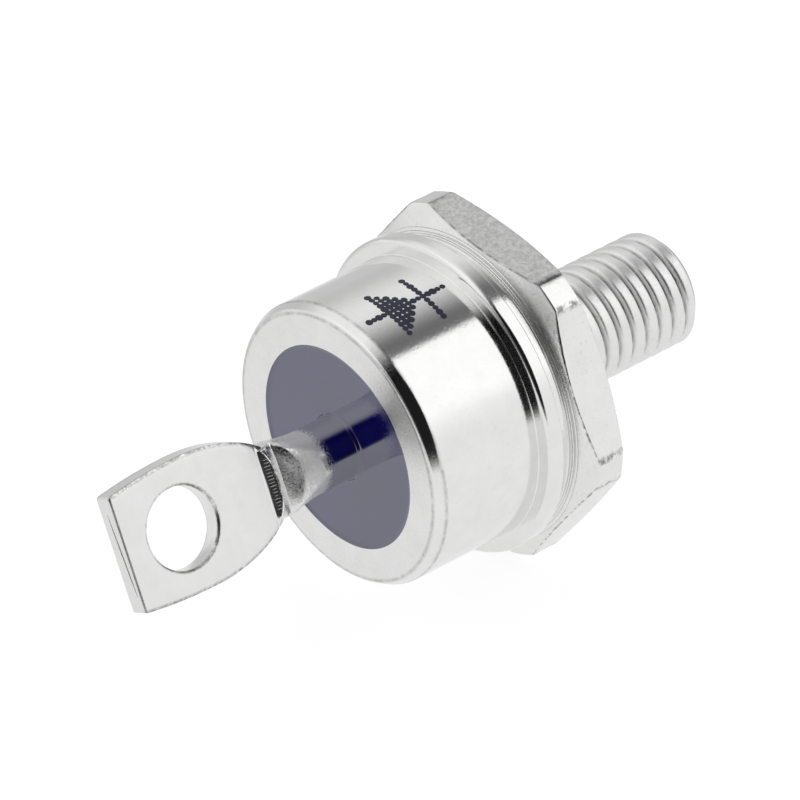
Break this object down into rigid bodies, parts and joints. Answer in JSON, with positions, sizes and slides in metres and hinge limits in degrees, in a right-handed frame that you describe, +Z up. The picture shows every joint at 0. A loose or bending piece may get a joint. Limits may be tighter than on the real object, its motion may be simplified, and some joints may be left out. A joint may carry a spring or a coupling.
{
  "type": "stud diode",
  "caption": "Stud rectifier diode: hexagon base with a threaded stud, welded steel can, blue glass seal, and a terminal tube crimped and flattened into an eye lug.",
  "frame": {"origin": "centre of the hexagon's seat face, on the stud's axis", "axes": "+X along the axis towards the stud's free end, so the terminal points to -X; +Z up, square to the hexagon's upper flat, with the part lying on the opposite flat"},
  "size_m": [0.0359, 0.0192, 0.0174],
  "materials": {
    "nickel_plated_copper": "polished",
    "nickel_plated_steel": "polished",
    "blue_glass": "gloss",
    "bare_copper": "satin",
    "solder": "satin",
    "molybdenum": "satin",
    "silicon": "polished",
    "silicone": "satin"
  },
  "bodies": {
    "root": {"stud_base": "nickel_plated_copper", "weld_ring": "nickel_plated_steel", "can": "nickel_plated_steel", "glass_seal": "blue_glass", "terminal_lug": "nickel_plated_copper", "inner_lead": "bare_copper", "contact_cup": "bare_copper", "cup_solder": "solder", "silicon_die": "silicon", "die_solder": "solder", "buffer_plate": "molybdenum", "plate_solder": "solder", "junction_coating": "silicone"}
  },
  "joints": []
}
